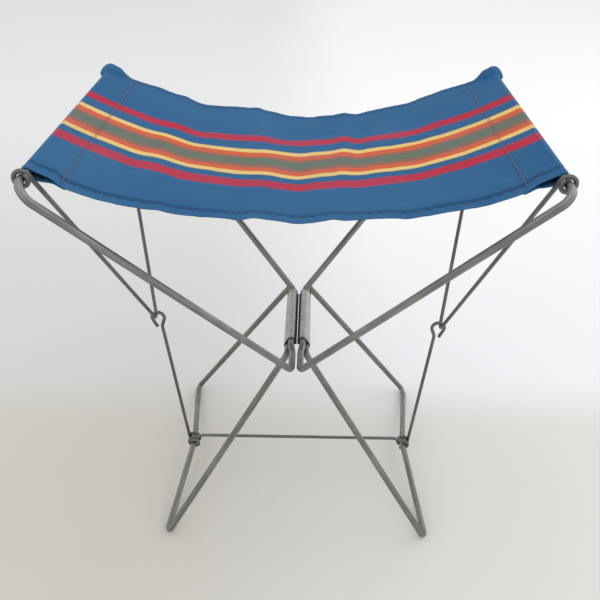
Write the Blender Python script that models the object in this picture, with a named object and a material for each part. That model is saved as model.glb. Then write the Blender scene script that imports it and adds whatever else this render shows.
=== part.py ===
"""Folding camp stool: four bent rod frames, two sheet hinge sleeves, wire links and a striped canvas seat.

Metres, +Z up. X is the seat's width, Y its depth (front is -Y). The feet stand on Z = 0 round the origin.
Each side has a seat frame that rises outward and a leg frame that falls outward. Both are closed rod frames
whose short centre rods lie side by side in one sleeve. A V link and a hook link tie each top bar to the
middle of the floor bar below it, and a wire ties the two floor bars together.
"""
import math

import bmesh
import bpy
from mathutils import Vector

# Stock
ROD_RADIUS = 0.0032
WIRE_RADIUS = 0.0018
THREAD_RADIUS = 0.0004
SHEET_THICKNESS = 0.0006
CANVAS_THICKNESS = 0.001
GAP = 0.0003

# Seat frames: centre rod low in the middle, top bar high on the outside
TOP_BAR_X = 0.1895
TOP_BAR_Z = 0.426
TOP_BAR_FRONT_Y = -0.147
TOP_BAR_REAR_Y = 0.1484
SEAT_ROD_X = 0.0056
SEAT_ROD_Z = 0.2135
SEAT_ROD_FRONT_Y = -0.083
SEAT_ROD_REAR_Y = 0.046
SEAT_ROD_TOE_IN = 0.0024
TOE_IN_FRONT_Y = -0.057
TOE_IN_REAR_Y = -0.0485
TOE_IN_BEND = 0.012

# Leg frames: centre rod just below the seat frame's, floor bar bent up at its middle
LEG_ROD_X = 0.0089
LEG_ROD_Z = 0.2075
LEG_ROD_FRONT_Y = -0.054
LEG_ROD_REAR_Y = 0.065
FOOT_X = 0.1386
FOOT_HALF_LENGTH = 0.1165
FOOT_WEAR = 0.00025
FLOOR_BAR_RISE = 0.0265
FOOT_DROP = 0.0025

# Bends of the rods, measured at the rod's centre
CENTRE_BEND = 0.006
TOP_BEND_FRONT_LEFT = 0.013
TOP_BEND_FRONT_RIGHT = 0.009
TOP_BEND_REAR = 0.0135
FOOT_BEND = 0.007
KINK_BEND = 0.020

# Hinge sleeves
SLEEVE_CLEARANCE = 0.00025
SLEEVE_FRONT_Y = -0.042
SLEEVE_REAR_Y = 0.0585
SLEEVE_CUT_Y = 0.039
SLEEVE_LIP_X = 0.0003
SLEEVE_LIP_DEPTH = 0.001
SLEEVE_WRAP_START = 220
SLEEVE_WRAP_FINISH = 185

# Wire links
EYE_CLEARANCE = 0.0004
KINK_EYE_CLEARANCE = 0.0009
EYE_LENGTH = 0.0042
EYE_TURN = 400
LINK_EYE_FRONT_Y = -0.1265
LINK_EYE_REAR_Y = 0.1225
KNOT_X = 0.1490
KNOT_Y = 0.002
LEFT_KNOT_Z = 0.2085
RIGHT_KNOT_Z = 0.2000
KNOT_BEND = 0.004
HOOK_Y = 0.0022
HOOK_RADIUS = 0.0065
HOOK_INSET = 0.0020
HOOK_NECK_INSET = 0.0030
HOOK_NECK_DROP = 0.0108
HOOK_NECK_BEND = 0.010
HOOK_TIP_OUT = 0.0020
HOOK_TIP_DROP = 0.0122

# Bottom tie
TIE_Y = -0.0026
TIE_LIFT = 0.0045
TIE_SHOULDER = 0.011
TIE_BEND = 0.010
TIE_HOOK_TURN = 215

# Canvas seat
SEAT_SAG = 0.0445
SEAT_SAG_POWER = 2.3
SEAT_HALF_DEPTH = 0.1242
SEAT_WAIST = 0.0146
SEAT_FLARE = 0.75
POCKET_FRONT_Y = -0.1183
POCKET_REAR_Y = 0.1153
POCKET_LENGTH = 0.027
POCKET_SEAM = 0.0235
HEM_WIDTH = 0.009
SEAT_STATIONS = 20
POCKET_WRAP_FINISH = -80

EYE_RADIUS = ROD_RADIUS + EYE_CLEARANCE + WIRE_RADIUS
KINK_EYE_RADIUS = ROD_RADIUS + KINK_EYE_CLEARANCE + WIRE_RADIUS
EYE_STEP = 25
ARC_STEP = math.radians(20)


def clear_scene():
    for item in list(bpy.data.objects):
        bpy.data.objects.remove(item, do_unlink=True)


def material(name, colour, roughness, metallic):
    made = bpy.data.materials.new(name)
    made.use_nodes = True
    shader = made.node_tree.nodes["Principled BSDF"]
    shader.inputs["Base Color"].default_value = (*colour, 1.0)
    shader.inputs["Roughness"].default_value = roughness
    shader.inputs["Metallic"].default_value = metallic
    return made


def add_object(name, data, surface):
    made = bpy.data.objects.new(name, data)
    made.data.materials.append(surface)
    bpy.context.collection.objects.link(made)
    return made


def move_origin(made, origin):
    """Put the object's origin on its joint's axis without moving its shape."""
    offset = Vector(origin)
    if made.type == "CURVE":
        for spline in made.data.splines:
            for point in spline.points:
                point.co = (*(point.co.xyz - offset), 1.0)
    else:
        for vertex in made.data.vertices:
            vertex.co -= offset
    made.location = offset


def rounded(corners, closed=False):
    """Points of a bent wire. Each corner is (point, bend radius), and its arc is cut into short chords."""
    count = len(corners)
    path = []
    for index, (corner, radius) in enumerate(corners):
        corner = Vector(corner)
        ends = index in (0, count - 1) and not closed
        if ends or radius == 0:
            path.append(corner)
            continue
        back = (Vector(corners[index - 1][0]) - corner).normalized()
        ahead = (Vector(corners[(index + 1) % count][0]) - corner).normalized()
        half = back.angle(ahead) / 2
        centre = corner + (back + ahead).normalized() * (radius / math.sin(half))
        start = corner + back * (radius / math.tan(half)) - centre
        finish = corner + ahead * (radius / math.tan(half)) - centre
        sweep = start.angle(finish)
        steps = max(2, math.ceil(sweep / ARC_STEP))
        for step in range(steps + 1):
            share = step / steps
            blend = start * math.sin((1 - share) * sweep) + finish * math.sin(share * sweep)
            path.append(centre + blend / math.sin(sweep))
    return path


def round_bar(name, path, radius, surface, closed=False, resolution=2):
    """A wire or rod of round section along a path, as a curve with filled ends."""
    curve = bpy.data.curves.new(name, "CURVE")
    curve.dimensions = "3D"
    curve.bevel_depth = radius
    curve.bevel_resolution = resolution
    curve.use_fill_caps = not closed
    spline = curve.splines.new("POLY")
    spline.points.add(len(path) - 1)
    spline.use_cyclic_u = closed
    for point, place in zip(spline.points, path):
        point.co = (*place, 1.0)
    return add_object(name, curve, surface)


def seat_frame(name, side, front_bend, surface):
    """A closed trapezium of rod. The centre rod toes in a little in front of the sleeve."""
    rise = Vector((TOP_BAR_X - SEAT_ROD_X, 0, TOP_BAR_Z - SEAT_ROD_Z)).normalized()
    toe_in = rise * SEAT_ROD_TOE_IN
    corners = [
        (Vector((SEAT_ROD_X, SEAT_ROD_FRONT_Y, SEAT_ROD_Z)) - toe_in, CENTRE_BEND),
        ((TOP_BAR_X, TOP_BAR_FRONT_Y, TOP_BAR_Z), front_bend),
        ((TOP_BAR_X, TOP_BAR_REAR_Y, TOP_BAR_Z), TOP_BEND_REAR),
        ((SEAT_ROD_X, SEAT_ROD_REAR_Y, SEAT_ROD_Z), CENTRE_BEND),
        ((SEAT_ROD_X, TOE_IN_REAR_Y, SEAT_ROD_Z), TOE_IN_BEND),
        (Vector((SEAT_ROD_X, TOE_IN_FRONT_Y, SEAT_ROD_Z)) - toe_in, TOE_IN_BEND),
    ]
    path = rounded([((side * p[0], p[1], p[2]), bend) for p, bend in corners], closed=True)
    return round_bar(name, path, ROD_RADIUS, surface, closed=True, resolution=3)


def in_leg_plane(side, y, rise):
    """A point of the leg frame's plane, at a distance rise up the frame from the feet."""
    foot = Vector((FOOT_X, y, ROD_RADIUS - FOOT_WEAR))
    up_frame = Vector((LEG_ROD_X - FOOT_X, 0, LEG_ROD_Z - ROD_RADIUS + FOOT_WEAR)).normalized()
    point = foot + up_frame * rise
    return Vector((side * point.x, point.y, point.z))


def floor_bar_point(side, y):
    """Centre of the floor bar near its raised and rounded middle."""
    slope = math.atan2(FLOOR_BAR_RISE + FOOT_DROP, FOOT_HALF_LENGTH)
    rounding = KINK_BEND * (1 / math.cos(slope) - 1) / math.tan(slope)
    return in_leg_plane(side, y, FLOOR_BAR_RISE - math.tan(slope) * math.hypot(y, rounding))


def leg_frame(name, side, surface):
    """A closed rod frame whose four bends meet the floor, each with a small worn flat under it."""
    corners = [
        ((side * LEG_ROD_X, LEG_ROD_FRONT_Y, LEG_ROD_Z), CENTRE_BEND),
        (in_leg_plane(side, -FOOT_HALF_LENGTH, -FOOT_DROP), FOOT_BEND),
        (in_leg_plane(side, 0, FLOOR_BAR_RISE), KINK_BEND),
        (in_leg_plane(side, FOOT_HALF_LENGTH, -FOOT_DROP), FOOT_BEND),
        ((side * LEG_ROD_X, LEG_ROD_REAR_Y, LEG_ROD_Z), CENTRE_BEND),
    ]
    path = rounded(corners, closed=True)
    bar = round_bar(name + "_rod", path, ROD_RADIUS, surface, closed=True, resolution=3)
    mesh = bpy.data.meshes.new_from_object(bar.evaluated_get(bpy.context.evaluated_depsgraph_get()))
    bpy.data.objects.remove(bar, do_unlink=True)
    cut = bmesh.new()
    cut.from_mesh(mesh)
    everything = cut.verts[:] + cut.edges[:] + cut.faces[:]
    bmesh.ops.bisect_plane(cut, geom=everything, plane_co=(0, 0, 0), plane_no=(0, 0, -1), clear_outer=True)
    bmesh.ops.holes_fill(cut, edges=[edge for edge in cut.edges if edge.is_boundary])
    bmesh.ops.recalc_face_normals(cut, faces=cut.faces)
    cut.to_mesh(mesh)
    cut.free()
    mesh.name = name
    return add_object(name, mesh, surface)


def bent_sheet(name, centreline, thickness, front, rear, surface):
    """A sheet of even thickness along an XZ centreline, with front and rear edges at a Y for each point."""
    last = len(centreline) - 1
    faces_xz = ([], [])
    for index, (x, z) in enumerate(centreline):
        before = centreline[max(index - 1, 0)]
        after = centreline[min(index + 1, last)]
        run = Vector((after[0] - before[0], after[1] - before[1])).normalized()
        for layer, sign in zip(faces_xz, (1, -1)):
            layer.append((x - run.y * sign * thickness / 2, z + run.x * sign * thickness / 2))
    sheet = bmesh.new()
    loops = [[sheet.verts.new((x, edge[i], z)) for i, (x, z) in enumerate(layer)]
             for layer, edge in zip((faces_xz[0], faces_xz[0], faces_xz[1], faces_xz[1]),
                                    (front, rear, rear, front))]
    for index in range(last):
        for side in range(4):
            here, there = loops[side], loops[(side + 1) % 4]
            sheet.faces.new((here[index], here[index + 1], there[index + 1], there[index]))
    for end in (0, last):
        sheet.faces.new([loop[end] for loop in loops])
    bmesh.ops.recalc_face_normals(sheet, faces=sheet.faces)
    mesh = bpy.data.meshes.new(name)
    sheet.to_mesh(mesh)
    sheet.free()
    return add_object(name, mesh, surface)


def arc(centre, radius, start, finish):
    """Points on a circle in XZ, angles in degrees from +X towards +Z."""
    steps = max(2, math.ceil(abs(finish - start) / math.degrees(ARC_STEP)))
    angles = [math.radians(start + (finish - start) * step / steps) for step in range(steps + 1)]
    return [(centre[0] + radius * math.cos(a), centre[1] + radius * math.sin(a)) for a in angles]


def hinge_sleeve(name, side, surface):
    """Sheet wrapped round both centre rods, with its two edges pinched into a lip at the stool's middle."""
    upper = (SEAT_ROD_X, SEAT_ROD_Z)
    lower = (LEG_ROD_X, LEG_ROD_Z)
    radius = ROD_RADIUS + SLEEVE_CLEARANCE + SHEET_THICKNESS / 2
    lean = math.degrees(math.atan2(upper[1] - lower[1], upper[0] - lower[0]))
    lip_z = (upper[1] + lower[1]) / 2 - GAP
    lip_root = SEAT_ROD_X - radius + SLEEVE_LIP_DEPTH
    apart = SHEET_THICKNESS / 2 + GAP / 2
    bottom = arc(lower, radius, SLEEVE_WRAP_START, lean + 270)
    top = arc(upper, radius, lean - 90, SLEEVE_WRAP_FINISH)
    line = [(SLEEVE_LIP_X, lip_z - apart), (lip_root, lip_z - apart)] + bottom + top
    line += [(lip_root, lip_z + apart), (SLEEVE_LIP_X, lip_z + apart)]
    rear = [SLEEVE_CUT_Y if x > SEAT_ROD_X - ROD_RADIUS and z > LEG_ROD_Z else SLEEVE_REAR_Y for x, z in line]
    front = [SLEEVE_FRONT_Y] * len(line)
    return bent_sheet(name, [(side * x, z) for x, z in line], SHEET_THICKNESS, front, rear, surface)


def eye(centre, radius, start, turn, y_start, y_step=0):
    """Points of a coil along Y, from an angle in degrees, turn degrees round."""
    steps = math.ceil(abs(turn) / EYE_STEP)
    path = []
    for step in range(steps + 1):
        angle = math.radians(start + turn * step / steps)
        y = y_start + y_step * step / steps
        path.append(Vector((centre.x + radius * math.cos(angle), y, centre.z + radius * math.sin(angle))))
    return path


def mirrored(path, side):
    return [Vector((side * point.x, point.y, point.z)) for point in path]


def knot_z(side):
    return LEFT_KNOT_Z if side < 0 else RIGHT_KNOT_Z


def v_link(name, side, surface):
    """A wire V that hangs from two eyes round the top bar. It is drawn for the right side, then mirrored."""
    spread = (LINK_EYE_REAR_Y - LINK_EYE_FRONT_Y) / 2
    drop = TOP_BAR_Z - knot_z(side)
    lean = math.atan2(TOP_BAR_X - EYE_RADIUS - KNOT_X, drop)
    sharp = KNOT_BEND * (1 / math.sin(math.atan2(spread, drop)) - 1)
    knot = Vector((KNOT_X - sharp * math.tan(lean), KNOT_Y, knot_z(side) - sharp))
    leave = 180 - math.degrees(lean)
    bar = Vector((TOP_BAR_X, 0, TOP_BAR_Z))
    front = eye(bar, EYE_RADIUS, leave - EYE_TURN, EYE_TURN, LINK_EYE_FRONT_Y - EYE_LENGTH, EYE_LENGTH)
    rear = eye(bar, EYE_RADIUS, leave - EYE_TURN, EYE_TURN, LINK_EYE_REAR_Y + EYE_LENGTH, -EYE_LENGTH)
    middle = rounded([(front[-1], 0), (knot, KNOT_BEND), (rear[-1], 0)])
    path = front[:-1] + middle + rear[:-1][::-1]
    return round_bar(name, mirrored(path, side), WIRE_RADIUS, surface)


def touch_angle(centre, radius, point, turn):
    """Angle in degrees where a line from a point touches a circle in XZ. Turn (1 or -1) picks the side."""
    away = centre - point
    heading = math.atan2(away.z, away.x) + turn * math.asin(radius / away.length)
    return math.degrees(heading) + turn * 90


def hook_link(name, side, surface):
    """A wire from an eye round the floor bar's middle up to an open loop that hooks over the V's bend."""
    bar = floor_bar_point(1, HOOK_Y + EYE_LENGTH / 2)
    reach = HOOK_RADIUS - 2 * WIRE_RADIUS - GAP
    loop = Vector((KNOT_X - HOOK_INSET, 0, knot_z(side) - math.sqrt(reach ** 2 - HOOK_INSET ** 2)))
    neck = loop - Vector((HOOK_NECK_INSET, 0, HOOK_NECK_DROP))
    tip = loop + Vector((HOOK_TIP_OUT, 0, -HOOK_TIP_DROP))
    lean = math.degrees(math.atan2(neck.x - bar.x - KINK_EYE_RADIUS, neck.z - bar.z))
    lower = eye(bar, KINK_EYE_RADIUS, -lean - EYE_TURN, EYE_TURN, HOOK_Y + EYE_LENGTH, -EYE_LENGTH)
    start = touch_angle(loop, HOOK_RADIUS, neck, 1)
    finish = touch_angle(loop, HOOK_RADIUS, tip, -1)
    upper = eye(loop, HOOK_RADIUS, start, finish - start, HOOK_Y)
    neck.y = tip.y = HOOK_Y
    shank = rounded([(lower[-1], 0), (neck, HOOK_NECK_BEND), (upper[0], 0)])
    path = lower[:-1] + shank[:-1] + upper + [tip]
    return round_bar(name, mirrored(path, side), WIRE_RADIUS, surface)


def bottom_tie(name, surface):
    """A wire from an eye round the left floor bar to an open hook over the right one, raised between them."""
    left_bar = floor_bar_point(-1, TIE_Y - EYE_LENGTH / 2)
    right_bar = floor_bar_point(1, TIE_Y)
    coil = eye(left_bar, KINK_EYE_RADIUS, 90 + EYE_TURN, -EYE_TURN, TIE_Y - EYE_LENGTH, EYE_LENGTH)
    hook = eye(right_bar, KINK_EYE_RADIUS, 90, -TIE_HOOK_TURN, TIE_Y)
    left_shoulder = coil[-1] + Vector((TIE_SHOULDER, 0, TIE_LIFT))
    right_shoulder = hook[0] + Vector((-TIE_SHOULDER, 0, TIE_LIFT))
    middle = rounded([(coil[-1], 0), (left_shoulder, TIE_BEND), (right_shoulder, TIE_BEND), (hook[0], 0)])
    return round_bar(name, coil[:-1] + middle + hook[1:], WIRE_RADIUS, surface)


def seat_section(x):
    """Height of the sagging canvas, and half its depth, at a distance x from the stool's middle."""
    share = abs(x) / TOP_BAR_X
    height = TOP_BAR_Z + ROD_RADIUS + CANVAS_THICKNESS - SEAT_SAG * (1 - share ** SEAT_SAG_POWER)
    waist = SEAT_WAIST * math.cos(math.pi / 2 * min(share / SEAT_FLARE, 1))
    return height, SEAT_HALF_DEPTH - waist


def seat_slope(x):
    share = abs(x) / TOP_BAR_X
    return math.copysign(math.atan(SEAT_SAG_POWER * SEAT_SAG / TOP_BAR_X * share ** (SEAT_SAG_POWER - 1)), x)


def seat_canvas(name, surface):
    """The sagging sheet, wrapped round each top bar and back under itself as far as the pocket's seam."""
    wrap = ROD_RADIUS + EYE_CLEARANCE + CANVAS_THICKNESS / 2
    slope = seat_slope(TOP_BAR_X)
    edge = TOP_BAR_X - wrap * math.sin(slope)
    half = []
    for station in range(SEAT_STATIONS // 2 + 1):
        x = edge * station / (SEAT_STATIONS // 2)
        half.append((x, seat_section(x)[0]))
    round_end = arc((TOP_BAR_X, TOP_BAR_Z), wrap, 90 + math.degrees(slope), POCKET_WRAP_FINISH)[1:]
    under = []
    for share in (0.5, 1.0):
        x = TOP_BAR_X - POCKET_LENGTH * share
        drop = (2 * wrap) * (1 - share) + (CANVAS_THICKNESS + 2 * GAP) * share
        under.append((x, seat_section(x)[0] - drop))
    right = half + round_end + under
    line = [(-x, z) for x, z in right[:0:-1]] + right
    pocket = [abs(x) > TOP_BAR_X - POCKET_LENGTH for x, z in line]
    front = [POCKET_FRONT_Y if inside else -seat_section(x)[1] for inside, (x, z) in zip(pocket, line)]
    rear = [POCKET_REAR_Y if inside else seat_section(x)[1] for inside, (x, z) in zip(pocket, line)]
    return bent_sheet(name, line, CANVAS_THICKNESS, front, rear, surface)


def on_canvas(x, y):
    """A point where a thread's centre lies, just clear of the canvas's upper face."""
    lift = CANVAS_THICKNESS / 2 + GAP + THREAD_RADIUS
    slope = seat_slope(x)
    return Vector((x - lift * math.sin(slope), y, seat_section(x)[0] + lift * math.cos(slope)))


def pocket_seam(name, side, surface):
    x = side * (TOP_BAR_X - POCKET_SEAM)
    path = [on_canvas(x, POCKET_FRONT_Y + HEM_WIDTH / 2), on_canvas(x, POCKET_REAR_Y - HEM_WIDTH / 2)]
    return round_bar(name, path, THREAD_RADIUS, surface, resolution=1)


def hem_seam(name, side, surface):
    reach = TOP_BAR_X - POCKET_SEAM - 4 * THREAD_RADIUS
    stations = [reach * (2 * step / SEAT_STATIONS - 1) for step in range(SEAT_STATIONS + 1)]
    path = [on_canvas(x, side * (seat_section(x)[1] - HEM_WIDTH)) for x in stations]
    return round_bar(name, path, THREAD_RADIUS, surface, resolution=1)


def build():
    clear_scene()
    steel = {key: material(key, (0.36, 0.35, 0.33), 0.38, 1.0) for key in
             ("left_seat_rod", "right_seat_rod", "left_leg_rod", "right_leg_rod")}
    wire = {key: material(key, (0.33, 0.33, 0.32), 0.42, 1.0) for key in
            ("left_v_wire", "right_v_wire", "left_hook_wire", "right_hook_wire", "tie_wire")}
    zinc = {key: material(key, (0.55, 0.57, 0.54), 0.45, 1.0)
            for key in ("left_sleeve_sheet", "right_sleeve_sheet")}
    canvas = material("striped_canvas", (0.09, 0.24, 0.52), 0.9, 0.0)
    thread = {key: material(key, (0.62, 0.40, 0.20), 0.8, 0.0) for key in
              ("left_thread", "right_thread", "front_thread", "rear_thread")}

    for label, side in (("left", -1), ("right", 1)):
        leg_axis = (side * LEG_ROD_X, 0, LEG_ROD_Z)
        seat_axis = (side * SEAT_ROD_X, 0, SEAT_ROD_Z)
        bend = TOP_BEND_FRONT_LEFT if side < 0 else TOP_BEND_FRONT_RIGHT
        move_origin(seat_frame(label + "_seat_frame", side, bend, steel[label + "_seat_rod"]), seat_axis)
        move_origin(leg_frame(label + "_leg_frame", side, steel[label + "_leg_rod"]), leg_axis)
        move_origin(hinge_sleeve(label + "_hinge_sleeve", side, zinc[label + "_sleeve_sheet"]), seat_axis)
        link = v_link(label + "_v_link", side, wire[label + "_v_wire"])
        move_origin(link, (side * TOP_BAR_X, 0, TOP_BAR_Z))
        link = hook_link(label + "_hook_link", side, wire[label + "_hook_wire"])
        move_origin(link, floor_bar_point(side, HOOK_Y + EYE_LENGTH / 2))
        pocket_seam(label + "_pocket_seam", side, thread[label + "_thread"])
    tie_axis = floor_bar_point(-1, TIE_Y - EYE_LENGTH / 2)
    move_origin(bottom_tie("bottom_tie_wire", wire["tie_wire"]), tie_axis)
    seat_canvas("seat_canvas", canvas)
    hem_seam("front_hem_seam", -1, thread["front_thread"])
    hem_seam("rear_hem_seam", 1, thread["rear_thread"])


build()
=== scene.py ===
"""Looks of the folding camp stool: drawn steel rod and wire, zinc sleeves and a striped canvas seat.

Metres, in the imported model's own frame: X across the seat, Y from front to rear, +Z up, feet on Z = 0.
Every piece follows the centrelines of the CAD node it stands for, with round sections and finer cloth, except
for two places. At the rear top corners the bars and the V links' eyes sit nearer the middle, and the cloth
covers the eyes. At the rear of the sleeves the whole upper half stops short.
"""
import math
import random

import bmesh
import bpy
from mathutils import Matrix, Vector, noise


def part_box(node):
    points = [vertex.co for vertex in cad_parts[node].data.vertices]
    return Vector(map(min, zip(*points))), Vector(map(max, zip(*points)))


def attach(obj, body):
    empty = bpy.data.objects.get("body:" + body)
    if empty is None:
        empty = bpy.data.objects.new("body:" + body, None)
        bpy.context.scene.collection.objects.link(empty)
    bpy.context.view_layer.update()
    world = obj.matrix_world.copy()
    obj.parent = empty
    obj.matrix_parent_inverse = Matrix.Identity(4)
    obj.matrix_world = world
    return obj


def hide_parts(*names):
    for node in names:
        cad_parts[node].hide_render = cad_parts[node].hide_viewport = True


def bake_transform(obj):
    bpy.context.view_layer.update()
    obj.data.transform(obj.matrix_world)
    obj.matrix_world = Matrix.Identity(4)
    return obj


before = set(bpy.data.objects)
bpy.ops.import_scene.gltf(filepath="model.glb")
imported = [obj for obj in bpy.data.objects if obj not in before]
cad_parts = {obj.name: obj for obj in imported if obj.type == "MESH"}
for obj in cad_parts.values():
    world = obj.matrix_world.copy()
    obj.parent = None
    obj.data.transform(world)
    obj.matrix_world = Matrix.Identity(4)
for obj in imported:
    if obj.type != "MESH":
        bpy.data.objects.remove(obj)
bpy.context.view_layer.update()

# Stock
ROD = 0.0032
WIRE = 0.0018
THREAD = 0.0004
SLEEVE_SHEET = 0.0006
CLOTH = 0.0005

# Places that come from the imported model
TOP_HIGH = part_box("right_seat_frame")[1]
TOP_X = TOP_HIGH.x - ROD
TOP_Z = TOP_HIGH.z - ROD

# Seat and leg frames. All but TOP_REAR_Y and REAR_BEND are as in the CAD source.
TOP_FRONT_Y = -0.147
TOP_REAR_Y = 0.1424
SEAT_ROD_X = 0.0056
SEAT_ROD_Z = 0.2135
SEAT_ROD_FRONT_Y = -0.083
SEAT_ROD_REAR_Y = 0.046
SEAT_ROD_TOE_IN = 0.0024
TOE_IN_FRONT_Y = -0.057
TOE_IN_REAR_Y = -0.0485
LEG_ROD_X = 0.0089
LEG_ROD_Z = 0.2075
LEG_ROD_FRONT_Y = -0.054
LEG_ROD_REAR_Y = 0.065
FOOT_X = 0.1386
FOOT_HALF = 0.1165
FOOT_WEAR = 0.00025
KINK_RISE = 0.0265
FOOT_DROP = 0.0025
CENTRE_BEND = 0.006
TOE_IN_BEND = 0.012
FRONT_BEND = {-1: 0.013, 1: 0.009}
REAR_BEND = 0.018
FOOT_BEND = 0.007
KINK_BEND = 0.020

# Sleeves
SLEEVE_CLEARANCE = 0.00025
SLEEVE_FRONT_Y = -0.042
SLEEVE_REAR_Y = 0.0585
SLEEVE_CUT_Y = 0.043
SLEEVE_LIP_X = 0.0003
SLEEVE_LIP_DEPTH = 0.001
SLEEVE_WRAP_START = 220
SLEEVE_WRAP_FINISH = 185
SLEEVE_NOTCH_Y = 0.044
SLEEVE_NOTCH_DEPTH = 0.0052

# Wire links
EYE = ROD + 0.0004 + WIRE
KINK_EYE = ROD + 0.0009 + WIRE
EYE_LENGTH = 0.0042
EYE_TURN = 400
LINK_FRONT_Y = -0.1265
LINK_REAR_Y = 0.1130
KNOT = {-1: Vector((0.149, 0.002, 0.2085)), 1: Vector((0.149, 0.002, 0.2000))}
KNOT_BEND = 0.004
HOOK_Y = 0.0022
HOOK_RADIUS = 0.0065
HOOK_INSET = 0.0020
HOOK_NECK = Vector((-0.0030, 0, -0.0108))
HOOK_NECK_BEND = 0.010
HOOK_TIP = Vector((0.0020, 0, -0.0122))
TIE_Y = -0.0026
TIE_LIFT = 0.0045
TIE_SHOULDER = 0.011
TIE_BEND = 0.010
TIE_HOOK_TURN = 215
GAP = 0.0003

# Canvas
SEAT_SAG = 0.0445
SEAT_SAG_POWER = 2.3
SEAT_HALF_DEPTH = 0.1242
SEAT_WAIST = 0.0146
SEAT_FLARE = 0.75
POCKET_LENGTH = 0.027
POCKET_SEAM = 0.0235
POCKET_END = {-1: 0.1183, 1: 0.1153}
HEM = 0.009
STRAIGHT_WARP = 0.062
WRAP = ROD + 0.0009
POCKET_TAPER = 0.012
# The rear pocket ends are cut back at their mouths, then reach out over the eyes of the V links
MOUTH_REACH = 0.050
MOUTH_Y = 0.1170
COVER_END = 0.1192
COVER_START = 0.0175
COVER_TAPER = 0.012
COVER_Y = 0.1035
COVER_RISE = 0.006
POCKET_WRAP_FINISH = -80
UNDER_GAP = 0.0009
UNDER_SLACK = 0.0006
UNDER_CUT = 0.0181
YARN_REPEAT = 0.00116
PUCKER = 0.0003
PUCKER_PITCH = 0.0085
HEM_PUFF = 0.0004
HEM_GAP = 0.00006
HEM_LINES = {-1: (0.0086, 0.0118), 1: (0.0062,)}

# Round bars: the share of the radius by which a bend squeezes them, how far a rub spreads, and how the ends
# are rounded, as (distance in, size) in radii
BEND_FLATTEN = 0.10
BEND_WIDEN = 0.05
STRAIGHT_ENOUGH = 1e-3
RUB_REACH = 0.010
END_BLUNT = 0.35
END_RINGS = ((0.0, 0.72), (END_BLUNT * 0.4, 0.93))

# Stitches
STITCH_RADIUS = THREAD * 0.7
STITCH_SINK = 0.9
POCKET_STITCH_PITCH = 0.0036
POCKET_STITCH = 0.0029
POCKET_STITCH_RISE = 0.0003
POCKET_STITCH_INSET = 0.0015
POCKET_STITCH_WANDER = 0.00035
POCKET_STITCH_SKEW = 0.00012
HEM_STITCH_PITCH = 0.0024
HEM_STITCH = 0.0019
HEM_STITCH_RISE = 0.00022
HEM_STITCH_INSET = 0.006


# ---------------------------------------------------------------- node materials
class Shader:
    """A material's node tree, with short calls for the nodes that it is made of."""

    def __init__(self, name):
        self.material = bpy.data.materials.new(name)
        self.material.use_nodes = True
        self.tree = self.material.node_tree
        self.bsdf = self.tree.nodes["Principled BSDF"]

    def node(self, kind, inputs=None, **settings):
        made = self.tree.nodes.new("ShaderNode" + kind)
        for key, value in settings.items():
            setattr(made, key, value)
        for key, value in (inputs or {}).items():
            self.put(made.inputs[key], value)
        return made

    def put(self, socket, value):
        if isinstance(value, bpy.types.NodeSocket):
            self.tree.links.new(value, socket)
        else:
            socket.default_value = value

    def attribute(self, name, output="Vector"):
        return self.node("Attribute", attribute_name=name).outputs[output]

    def stretch(self, vector, scale):
        return self.node("Mapping", {"Vector": vector, "Scale": scale}).outputs["Vector"]

    def noise(self, vector, scale, detail=3.0, roughness=0.5):
        inputs = {"Vector": vector, "Scale": scale, "Detail": detail, "Roughness": roughness}
        return self.node("TexNoise", inputs).outputs["Fac"]

    def math(self, operation, first, second=0.0, clamp=False):
        made = self.node("Math", operation=operation, use_clamp=clamp)
        self.put(made.inputs[0], first)
        self.put(made.inputs[1], second)
        return made.outputs["Value"]

    def spread(self, value, low, high, to_low=0.0, to_high=1.0):
        made = self.node("MapRange", {"Value": value, "From Min": low, "From Max": high,
                                      "To Min": to_low, "To Max": to_high})
        return made.outputs["Result"]

    def ramp(self, value, stops, interpolation="LINEAR"):
        made = self.node("ValToRGB", {"Fac": value})
        band = made.color_ramp
        band.interpolation = interpolation
        while len(band.elements) < len(stops):
            band.elements.new(0.5)
        for element, (place, colour) in zip(band.elements, stops):
            element.position = place
            element.color = (*colour, 1.0)
        return made.outputs["Color"]

    def mix(self, share, first, second, blend_type="MIX"):
        made = self.node("Mix", data_type="RGBA", blend_type=blend_type)
        for socket, value in ((made.inputs[0], share), (made.inputs[6], first), (made.inputs[7], second)):
            self.put(socket, (*value, 1.0) if isinstance(value, tuple) else value)
        return made.outputs[2]

    def bump(self, height, strength, distance, normal=None):
        made = self.node("Bump", {"Height": height, "Strength": strength, "Distance": distance})
        if normal is not None:
            self.put(made.inputs["Normal"], normal)
        return made.outputs["Normal"]

    def surface(self, **inputs):
        for key, value in inputs.items():
            if isinstance(value, tuple):
                value = (*value, 1.0)
            self.put(self.bsdf.inputs[key.replace("_", " ")], value)
        return self.material


def srgb(red, green, blue):
    """Linear colour from 0-255 display values."""
    def linear(value):
        return value / 255 / 12.92 if value <= 10 else ((value / 255 + 0.055) / 1.055) ** 2.4

    return linear(red), linear(green), linear(blue)


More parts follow.
